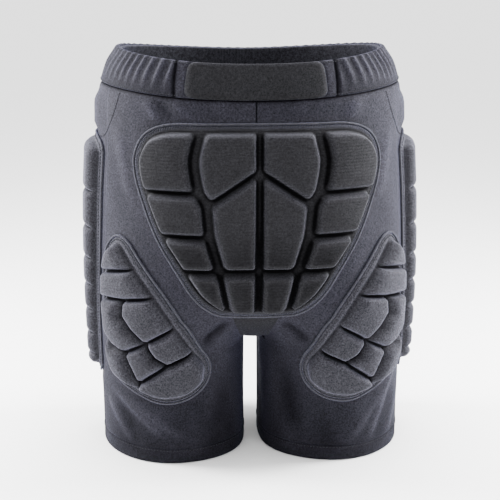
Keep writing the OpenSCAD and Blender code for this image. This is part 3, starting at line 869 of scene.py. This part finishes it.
def fold_height(p):
    """Height of the folds at points of the skin, seen from behind or from the front."""
    h = np.zeros(p.shape[:-1])
    back = p[..., 1] < AXIS_Y
    for (ax, az), (bx, bz), half, tall in FOLDS:
        for x, here in ((p[..., 0], back), (-p[..., 0], ~back)):
            dx, dz = bx - ax, bz - az
            length = math.hypot(dx, dz)
            u = ((x - ax) * dz - (p[..., 2] - az) * dx) / length
            v = ((x - ax) * dx + (p[..., 2] - az) * dz) / length**2
            fade = smooth(v / 0.3 + 0.4) * smooth((1 - v) / 0.3 + 0.4)
            h += np.where(here, FOLD_GAIN * tall * np.exp(-((u / half) ** 2)) * fade, 0)
    return h


def slack(angle, z, side):
    """The gentle waviness of loose cloth."""
    a = np.radians(angle) * side
    wave = 0.9 * np.sin(5.3 * a + z / 31 + side) + 0.6 * np.sin(9.1 * a - z / 23 + 2 * side)
    wave += 0.35 * np.sin(17 * a + z / 14)
    return 0.38 * wave


def pad_clearance(angle, z):
    """0 where a pad lies on the shell, rising to 1 beside it."""
    p = skin(angle, z).reshape(-1, 3)
    turn, high = np.radians(angle).ravel(), z.ravel()
    depth = np.where(turn > 0, profile(FRONT, high), profile(BACK, high))
    drawings = [
        (SEAT_EDGE, p[:, 0], p[:, 1] < AXIS_Y),
        (THIGH_EDGE, turn * THIGH_RADIUS, True),
        (HIP_EDGE, np.sin(turn) * depth, np.abs(angle.ravel()) < 85),
    ]
    free = np.ones(len(high))
    for edge, across, valid in drawings:
        flat = np.stack([across, high], -1)
        near = valid & (flat > edge.min(0) - 16).all(1) & (flat < edge.max(0) + 16).all(1)
        d = -distance_inside(flat[near], edge[::3])
        free[near] = np.minimum(free[near], smooth((d - 2.5) / 9))
    return free.reshape(angle.shape)


# The upper-hip pad's middle: distance forwards of the garment's side, and height
UPPER_HIP_X, UPPER_HIP_Z = 6.0, 333.0


def hip_bulge(angle, z):
    """The upper-hip pad pushes the cloth out from inside."""
    across = profile(BACK, z) * np.sin(np.radians(angle)) - UPPER_HIP_X
    r = np.hypot(across / 40, (z - UPPER_HIP_Z) / 20)
    return np.where(np.abs(angle) < 85, 3.4 * smooth((1.15 - r) / 0.6), 0)


def drape(angle, z, side):
    """Height of the cloth above its plain surface."""
    angle, z = np.broadcast_arrays(angle, z)
    p = skin(angle, z)
    p[..., 0] *= side
    free = pad_clearance(angle, z)
    ends = smooth((z - 2) / 14) * smooth((BAND_LOW - 8 - z) / 10 + 0.4)
    h = (fold_height(p) + slack(angle, z, side)) * free * ends + hip_bulge(angle, z) * free
    inner = smooth((175 - np.abs(angle)) / 12)
    return h * np.where(z < CROTCH_H + 30, mix(0.35, 1.0, inner), 1.0)


def seam_dip(distance, depth=1.1, half=1.5):
    return -depth * np.exp(-((distance / half) ** 2))


def fine_steps(width, pitch, closeup=(0.6, 1.3, 2.2, 3.4)):
    """Shares from 0 to 1 over a width in mm, closer together at both ends."""
    ends = np.array([0, *closeup]) / width
    middle = np.linspace(closeup[-1] / width, 1 - closeup[-1] / width, max(3, int(width / pitch)))
    return np.concatenate([ends[:-1], middle, 1 - ends[:-1][::-1]])


def shell_painted_light(h, edge, angle, z):
    """Painted light on the folds' crests and painted shade at the seams, darker towards the hem and
    between the legs.
    """
    # Painted shade between the legs below the crotch, and down the legs towards the hem.
    between = smooth((np.abs(angle) - 125) / 40) * smooth((CROTCH_H + 45 - z) / 40)
    low = smooth((150 - z) / 130)
    return 0.17 * h - 0.6 * np.exp(-((edge / 1.7) ** 2)) - 0.32 * low - 0.14 * between


def cloth_piece(name, outer, inner, material, side, ring=False,
                tone_and_painted_light=None):
    """A closed piece of cloth between two grids."""
    points, faces = closed_sheet(outer, inner, ring)
    points, faces = on_side(points, faces, side)
    obj = new_object(name, points, faces, material)
    if tone_and_painted_light is not None:
        set_tone_and_painted_light(obj, np.concatenate([np.broadcast_to(tone_and_painted_light, outer.shape[:2]).ravel(),
                                      np.zeros(inner.shape[0] * inner.shape[1])]))
    return obj


# ---------------------------------------------------------------- Panels

SEAM = 0.3
PANEL_LOW = HEM_H + SEAM
PANEL_W = 150.0
# Over this height below the band a panel's rows bend to follow the rim
RIM_EASE = 60.0
# The gusset meets the legs this far from the middle, between the crotch and ARCH_H
ARCH_HALF_W, ARCH_H = 13.5, CROTCH_H + 8


def gusset_edge(z):
    wide = np.clip((z - ARCH_H) / (GUSSET_TOP - ARCH_H), 0, 1)
    edge = mix(ARCH_HALF_W, GUSSET_HALF_W, wide)
    return np.where((z > GUSSET_TOP) | (z < CROTCH_H), 0, edge)


def panel_quarter(way, t):
    """Quarter turns from the side at the share t of a panel's width."""
    return mix(((SIDE_FRONT if way > 0 else SIDE_BACK) + SEAM) / 90, 2, t)


def panel_angle(way, z, t):
    quarter = panel_quarter(way, t)
    limit = angle_past(z, np.maximum(gusset_edge(z), SEAM / 2)) - np.where(z < CROTCH_H, SEAM, 0)
    lean = np.abs(quarter - 1) ** np.where(z > GUSSET_TOP, 1, 4)
    inner = mix(90, 180, quarter - 1) - (180 - limit) * lean
    return way * np.where(quarter < 1, 90 * quarter, inner)


def panel_top(quarter):
    return BAND_LOW - rim_drop(2 + quarter) - SEAM


def levels_between(low, high, pitch):
    return mix(low, high, fine_steps(high - low, pitch))


def wall_levels():
    """Heights of a panel's rows: close together at the hem, the gusset and the band."""
    parts = [
        levels_between(PANEL_LOW, CROTCH_H - 0.6, 3.0),
        levels_between(CROTCH_H + 0.1, GUSSET_TOP, 3.0),
        levels_between(GUSSET_TOP + SEAM, BAND_LOW - RIM_DIP - 2, 3.0),
    ]
    return np.concatenate(parts)


def shell_cloth(name, angle, z, top, edge, side):
    """A panel of the shell over a grid of angles and heights; edge is the distance to its
    centre seam. The flat side seams hardly show, so the cloth runs on over them."""
    drop = drape(angle, z, side) * smooth(edge / 6)
    h = drop + seam_dip(edge) + seam_dip(z - PANEL_LOW, 0.3, 0.8)
    h += seam_dip(top - z, 1.0, 2.2)
    centre = np.where(z > GUSSET_TOP, edge, 9)
    tone_and_painted_light = shell_painted_light(drop, np.minimum(centre, top - z), angle, z)
    return cloth_piece(name, raised(angle, z, h), raised(angle, z, h - FABRIC_T), SHELL,
                       side, tone_and_painted_light=tone_and_painted_light)


def wall_panel(name, side, way):
    levels = wall_levels()[:, None]
    t = fine_steps(PANEL_W, 2.6)[None, :]
    if way < 0:
        t = 1 - t
    top = panel_top(way * panel_quarter(way, t))
    start = BAND_LOW - RIM_EASE
    share = np.clip((levels - start) / (levels[-1, 0] - start), 0, 1)
    z = np.where(share > 0, mix(start, top, share), levels)
    return shell_cloth(name, panel_angle(way, z, t), z, top, (1 - t) * PANEL_W, side)


def side_panel(name, side):
    t = fine_steps(125.0, 2.6)[None, :]
    angle = mix(-SIDE_BACK - SEAM, SIDE_FRONT + SEAM, t)
    top = panel_top(angle / 90)
    levels = levels_between(PANEL_LOW, BAND_LOW - RIM_DIP, 3.0)[:, None]
    share = np.clip((levels - BAND_LOW + RIM_EASE) / (RIM_EASE - RIM_DIP), 0, 1)
    z = np.where(share > 0, mix(BAND_LOW - RIM_EASE, top, share), levels)
    angle = np.broadcast_to(angle, z.shape)
    return shell_cloth(name, angle, z, top, np.full(z.shape, 50.0), side)


for name, side in SIDES:
    back = wall_panel(name + "_back_panel_cloth", side, -1)
    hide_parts(name + "_back_panel")
    front = wall_panel(name + "_front_panel_cloth", side, 1)
    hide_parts(name + "_front_panel")
    flank = side_panel(name + "_side_panel_cloth", side)
    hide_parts(name + "_side_panel")

# Crotch gusset: one strip stretched straight across between the legs, from back to front
ARCH_DEEP = AXIS_Y - raised(-angle_past(ARCH_H, ARCH_HALF_W), ARCH_H, 0)[1]


def strip_rise(way):
    """The strip's edge where it climbs one wall, with its flap tucked inside the leg."""
    z = np.linspace(GUSSET_TOP, ARCH_H, 18)
    p = raised(way * angle_past(z, gusset_edge(z)), z, 0)
    tucked = raised(way * angle_past(z, gusset_edge(z) + 3), z, -2.4)
    return p, tucked


def strip_arch():
    """The strip's edge under the crotch, with a flap down inside each leg."""
    y = np.linspace(-1, 1, 31)[1:-1]
    z = mix(CROTCH_H + 1, ARCH_H, y**2)
    s = np.sqrt(1 - (y * ARCH_DEEP / CROTCH_DEPTH) ** 2)
    x = LEG_X - (LEG_X - GAP_HALF * s**6) * s
    edge = np.stack([x, AXIS_Y + y * ARCH_DEEP, z], -1)
    return edge, edge + np.array([2.6, 0, -9.0])


back_edge, back_flap = strip_rise(-1)
front_edge, front_flap = strip_rise(1)
arch_edge, arch_flap = strip_arch()
edge = np.concatenate([back_edge, arch_edge, front_edge[::-1]])
flap = np.concatenate([back_flap, arch_flap, front_flap[::-1]])
along = np.gradient(edge[:, 1:], axis=0)
along /= np.linalg.norm(along, axis=1, keepdims=True)
down = np.stack([np.zeros(len(edge)), along[:, 1], -along[:, 0]], -1)
across = np.linspace(-1, 1, 15)
strip = scaled_x(np.repeat(edge[:, None], len(across), 1), across)
puff = 1.2 * smooth((148 - edge[:, 2]) / 15)[:, None] * (1 - across**2)[None]
strip = strip + down[:, None] * (puff - 0.3)[..., None]
strip = np.concatenate([mirrored(flap)[:, None], strip, flap[:, None]], 1)
strip_back = strip - 1.4 * down[:, None]
gusset = cloth_piece("crotch_gusset_cloth", strip[:, ::-1], strip_back[:, ::-1], PATCH, 1,
                     tone_and_painted_light=0.15)
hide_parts("crotch_gusset")

# Hem bands: a folded edge with one row of stitches
HEM_DEEP = 3.6
HEM_STITCH_H = 13.2


def flat_outward(angle, z):
    n = outward(angle, z) * np.array([1.0, 1.0, 0.0])
    return n / np.linalg.norm(n, axis=-1, keepdims=True)


def hem_point(angle, z, h):
    return skin(angle, z) + np.asarray(h)[..., None] * flat_outward(angle, z)


hem_rows = np.array([0, 0.5, 1.3, 2.6, 5, 8, 11, 12.6, 13.6, 14.4, HEM_H])
for name, side in SIDES:
    angle = np.arange(-180, 180, 2.0)[None, :]
    z = hem_rows[:, None]
    rolled = 1.0 - np.sqrt(np.clip(1 - ((1.6 - z) / 1.6).clip(0, 1) ** 2, 0, 1))
    wave = drape(angle, z, side)
    h = wave + seam_dip(HEM_H - z, 0.3, 0.8) - 1.4 * rolled
    outer = hem_point(angle, z, h)
    inner = hem_point(angle, z, -HEM_DEEP + 0.8 * rolled)
    # Painted shade darkens the hem as it does the lower legs.
    hem = cloth_piece(name + "_hem_cloth", outer, inner, SHELL, side, ring=True,
                      tone_and_painted_light=shell_painted_light(wave, 20.0, angle, z))
    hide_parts(name + "_hem_band")
    around = np.arange(-180, 180, 1.5)
    row = hem_point(around, HEM_STITCH_H, drape(around, HEM_STITCH_H, side) + 0.15)
    stitch_rows(name + "_hem_stitches", [to_side(row, side)])

# ---------------------------------------------------------------- Waistband

CASING_T = 1.4
ELASTIC_T = 1.8
FACING_T = 1.0
LAYER_GAP = 0.3


def waist_angle(turn, z):
    return quarter_angle(np.abs(turn) - 2, z)


def band_point(turn, t, h):
    turn, t, h = np.broadcast_arrays(turn, t, h)
    z = mix(BAND_LOW, GARMENT_H, t) - rim_drop(turn)
    return scaled_x(raised(waist_angle(turn, z), z, h), np.where(turn < 0, -1.0, 1.0))


# Length of the rim in the quarter turn between the flat middle and the side
ROUND = 149.0


def rim_length(turn):
    """Distance along the rim from the centre back to a turn of the right half."""
    t = np.minimum(turn, 4 - turn)
    s = np.where(t <= 1, FLAT_X * t, FLAT_X + ROUND * (t - 1))
    return np.where(turn > 2, 2 * (FLAT_X + ROUND) - s, s)


def gathers(turn, t, side):
    """Crisp upright ridges that fade towards the band's lower edge."""
    s = rim_length(turn) + 5 * t + 40 * side
    phase = 2 * np.pi * s / 9.5 + 1.1 * np.sin(s / 13) + 0.8 * np.sin(s / 31)
    ridge = (0.5 + 0.5 * np.cos(phase)) ** 2
    fade = smooth((t - 0.05) / 0.6) * (0.8 + 0.2 * np.sin(s / 23))
    return (2.1 * ridge + 0.2 * np.sin(s / 1.7 + 2)) * fade


def rolled_edge(t, height):
    """Turns the cloth inwards at a band's top and bottom edges."""
    top = 1 - np.sqrt(np.clip(1 - np.clip((t - 1) * height / 2.4 + 1, 0, 1) ** 2, 0, 1))
    low = 1 - np.sqrt(np.clip(1 - np.clip(1 - t * height / 1.5, 0, 1) ** 2, 0, 1))
    return 1.7 * top + 1.3 * low


band_t = fine_steps(BAND_H, 2.2)[:, None]
# The casing runs on under the patch as far as this
PATCH_LAP = 0.09
for name, side in SIDES:
    turn = np.linspace(PATCH_SPAN - PATCH_LAP, 4 - 0.004, 420)[None, :]
    ends = (4 - turn) * FLAT_X
    beside = np.abs(turn - PATCH_SPAN) * ROUND
    ridges = gathers(turn, band_t, side) * smooth((beside - 8) / 5)
    fold = np.abs(beside - 8.0 - 3.0 * band_t)
    h = 0.9 + ridges - rolled_edge(band_t, BAND_H) + seam_dip(fold, 1.9, 1.6)
    h = h + seam_dip(ends, 1.4, 1.2) + 1.0 * smooth(1 - np.abs(band_t - 0.5) / 0.5)
    h = mix(h, -0.4, smooth((PATCH_SPAN + 0.01 - turn) * ROUND / 3))
    h = np.maximum(h, -0.9)
    # Painted highlight on the gathers' ridges, painted shade between them and in the fold beside the
    # patch.
    tone_and_painted_light = 0.42 * (ridges - 0.55) * smooth((beside - 10) / 4) - 0.6 * np.exp(-((fold / 1.9) ** 2))
    outer = band_point(turn, band_t, h)
    inner = band_point(turn, band_t, -CASING_T)
    casing = cloth_piece(name + "_waistband_cloth", outer, inner, SHELL, side,
                         tone_and_painted_light=tone_and_painted_light)
    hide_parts(name + "_waistband")

# The patch has rounded corners and a rolled edge
CORNER_R = 7.0
from_edge = np.minimum(band_t, 1 - band_t) * BAND_H
short = CORNER_R - np.sqrt(CORNER_R**2 - np.clip(CORNER_R - from_edge, 0, CORNER_R) ** 2)
turn = np.linspace(-1, 1, 160)[None, :] * (PATCH_SPAN - short / ROUND)
ends = (PATCH_SPAN - short / ROUND - np.abs(turn)) * ROUND
h = 0.9 + 1.7 * np.sqrt(np.clip(1 - (1 - np.clip(ends / 6, 0, 1)) ** 2, 0, 1))
h = h + 0.5 * smooth(1 - np.abs(band_t - 0.5) / 0.5) - 0.4 * rolled_edge(band_t, BAND_H)
behind = mix(-CASING_T, 0.05, smooth((np.abs(turn) - PATCH_SPAN + 0.14) / 0.04))
# Painted highlight along the patch's top edge and at its rounded ends.
tone_and_painted_light = 1.0 * np.exp(-(((1 - band_t) * BAND_H - 0.8) / 1.3) ** 2)
tone_and_painted_light = tone_and_painted_light + 0.45 * np.exp(-((ends - 1.6) / 1.6) ** 2)
patch = cloth_piece("waist_patch_cloth", band_point(turn, band_t, h),
                    band_point(turn, band_t, behind), PATCH, 1, tone_and_painted_light=tone_and_painted_light)
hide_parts("waist_patch")

full_turn = np.linspace(-4, 4, 321)[None, :-1]


def band_loop(name, node, low, high, outer_h, inner_h, material):
    t = mix(low, high, fine_steps(BAND_H * (high - low), 2.5))[:, None]
    tidy_edge = 0.25 * rolled_edge((t - low) / (high - low), BAND_H)
    obj = cloth_piece(
        name, band_point(full_turn, t, outer_h(full_turn, t) - tidy_edge),
        band_point(full_turn, t, inner_h(full_turn, t) + tidy_edge), material, 1,
        ring=True)
    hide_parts(node)


elastic_out = -CASING_T - LAYER_GAP
band_loop("waist_elastic_band", "waist_elastic", 0.08, 0.92,
          lambda w, t: elastic_out, lambda w, t: elastic_out - ELASTIC_T,
          ELASTIC)
facing_out = elastic_out - ELASTIC_T - LAYER_GAP


def facing_wave(w):
    return 0.5 * np.abs(np.sin(w * 80 / 2.6))


band_loop("waist_facing_cloth", "waist_facing", 0.02, 0.99,
          lambda w, t: facing_out - 0.1 - facing_wave(w) + 2.6 * smooth((t - 0.93) / 0.04),
          lambda w, t: facing_out - FACING_T - facing_wave(w),
          LINING)

turn = np.linspace(-4, 4, 500)[:-1]
rows = [band_point(turn, t, 0.95) for t in (0.05, 0.94)]
stitch_rows("waistband_stitches", rows, pitch=3.0)

# ---------------------------------------------------------------- Pads

# Name, side, edge, shape, places of the pad and of its lining, fabric, lightness of the
# border strip, and the CAD nodes
pad_parts = [
    ("seat_pad", 1, SEAT_EDGE, SEAT_SHAPE, seat_place, seat_lining_place, PAD_RIBBED, -0.05,
     ["seat_pad_base"] + ["seat_cells_" + key for key in SEAT_CELLS]),
]
for name, side in SIDES:
    for part, edge, shape, place in (
            ("thigh", THIGH_EDGE, THIGH_SHAPE, thigh_place),
            ("hip", HIP_EDGE, HIP_SHAPE, hip_place)):
        label = name + "_" + part + "_pad"
        pad_parts.append((label, side, edge, shape, place, place, PAD, 0.3,
                          [label + "_base", label + "_cells"]))

LINING_DEEP = FABRIC_T + 1.0
for label, side, edge, shape, place, lining_place, material, strip, nodes in pad_parts:
    pad = pad_skin(label + "_skin", edge, shape, place, material, side, strip)
    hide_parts(*nodes)
    cord = piping(label + "_welt", edge, place, side)
    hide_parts(label + "_piping")
    if label == "seat_pad":
        rope_stitch(label + "_edge_stitches", edge, shape.border, place, side)
    else:
        stitch_rows(label + "_edge_stitches", [rim_route(edge, 2.0, 2.6, place, side)])
    points, faces = on_side(*filled(
        edge[::3], lining_place, lambda p: -LINING_DEEP, -LINING_DEEP - 1.0, 5.0), side)
    lining = new_object(label + "_lining_mesh", points, faces, LINING)
    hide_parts(label + "_lining")

# Upper-hip foam in its pocket, and the stitched curve round it
iliac = np.array([(UPPER_HIP_X + 34 * math.cos(a), UPPER_HIP_Z + 17 * math.sin(a))
                  for a in np.linspace(0, 2 * math.pi, 48, endpoint=False)])
for name, side in SIDES:
    deep = -LINING_DEEP
    points, faces = on_side(*filled(
        iliac, hip_place,
        lambda p: deep - 3.0 + 2.8 * np.sqrt(np.clip(distance_inside(p, iliac) / 14, 0, 1)),
        deep - 6.0, 2.5), side)
    foam = new_object(name + "_upper_hip_pad", points, faces, FOAM)
    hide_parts(name + "_upper_hip_foam")
    pocket_edge = inset(iliac, -5)
    points, faces = on_side(*filled(
        pocket_edge, hip_place, lambda p: deep - 6.4, deep - 7.4, 4.0), side)
    pocket = new_object(name + "_upper_hip_pocket_mesh", points, faces, LINING)
    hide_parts(name + "_upper_hip_pocket")

# The pocket is sewn to the shell along a curve beside the waistband
pocket_line = curve([(-57, 358), (-53, 338), (-39, 316), (-20, 311)], 20)
pocket_angle = np.degrees(np.arcsin(pocket_line[:, 0] / profile(BACK, pocket_line[:, 1])))
for name, side in SIDES:
    height = drape(pocket_angle, pocket_line[:, 1], side) + 0.1
    row = raised(pocket_angle, pocket_line[:, 1], height)
    stitch_rows(name + "_pocket_stitches", [to_side(row, side)], pitch=2.6,
                share=0.75, radius=0.5, closed=False)

# ---------------------------------------------------------------- Seam tapes

TAPE_DEEP = FABRIC_T + LAYER_GAP + 1.4
for label, way in (("back", -1), ("front", 1)):
    z = np.linspace(GUSSET_TOP + 32, BAND_LOW - RIM_DIP - 3, 40)[:, None]
    x = np.linspace(-5, 5, 9)[None, :] * way * -1
    angle = way * angle_past(z, np.abs(x))
    sign = np.where(x < 0, -1.0, 1.0)
    outer = scaled_x(raised(angle, z, -TAPE_DEEP), sign)
    inner = scaled_x(raised(angle, z, -TAPE_DEEP - 0.8), sign)
    tape = cloth_piece("centre_" + label + "_tape_cloth", outer, inner, BINDING, 1)
    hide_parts("centre_" + label + "_tape")
for name, side in SIDES:
    z = np.linspace(PANEL_LOW + 1, 90, 24)[:, None]
    angle = np.linspace(176, 184, 7)[None, :]
    outer = raised(angle, z, -TAPE_DEEP)
    inner = raised(angle, z, -TAPE_DEEP - 0.8)
    tape = cloth_piece(name + "_inseam_tape_cloth", outer, inner, BINDING, side)
    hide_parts(name + "_inseam_tape")

# ---------------------------------------------------------------- Stage


def plain(name, colour, rough):
    material, tree, shader = node_material(name)
    shader.inputs["Base Color"].default_value = (*colour, 1)
    shader.inputs["Roughness"].default_value = rough
    return material


floor_mesh = bpy.data.meshes.new("floor")
half = 30.0
floor_mesh.from_pydata(
    [(-half, -half, 0), (half, -half, 0), (half, half, 0), (-half, half, 0)], [], [(0, 1, 2, 3)])
floor_mesh.materials.append(plain("pale_floor", (0.95, 0.95, 0.95), 0.95))
floor = bpy.data.objects.new("floor", floor_mesh)
bpy.context.scene.collection.objects.link(floor)
floor.location.z = -0.0005

world = bpy.data.worlds.new("studio")
bpy.context.scene.world = world
world.use_nodes = True
backdrop = world.node_tree.nodes["Background"]
backdrop.inputs["Color"].default_value = (1.0, 1.0, 1.0, 1)
backdrop.inputs["Strength"].default_value = 2.5


def softbox(name, at, target, size, power):
    light = bpy.data.lights.new(name, "AREA")
    light.shape = "RECTANGLE"
    light.size, light.size_y = size
    light.energy = power
    obj = bpy.data.objects.new(name, light)
    bpy.context.scene.collection.objects.link(obj)
    obj.location = at
    obj.rotation_euler = (Vector(target) - Vector(at)).to_track_quat("-Z", "Y").to_euler()


softbox("left_strip", (-0.90, 0.20, 0.62), (0, 0, 0.27), (0.35, 0.6), 44)
softbox("right_strip", (0.90, 0.12, 0.62), (0, 0, 0.27), (0.35, 0.6), 41)
softbox("top_box", (0.1, 0.1, 1.5), (0, 0, 0.2), (0.9, 0.9), 40)

camera_data = bpy.data.cameras.new("camera")
camera_data.lens = 99.6
camera_data.sensor_width = 36
camera = bpy.data.objects.new("camera", camera_data)
bpy.context.scene.collection.objects.link(camera)
camera.location = (-0.082, -1.347, 0.505)
aim = Vector((0.0, AXIS_Y * MM, 0.191))
camera.rotation_euler = (aim - camera.location).to_track_quat("-Z", "Y").to_euler()
bpy.context.scene.camera = camera
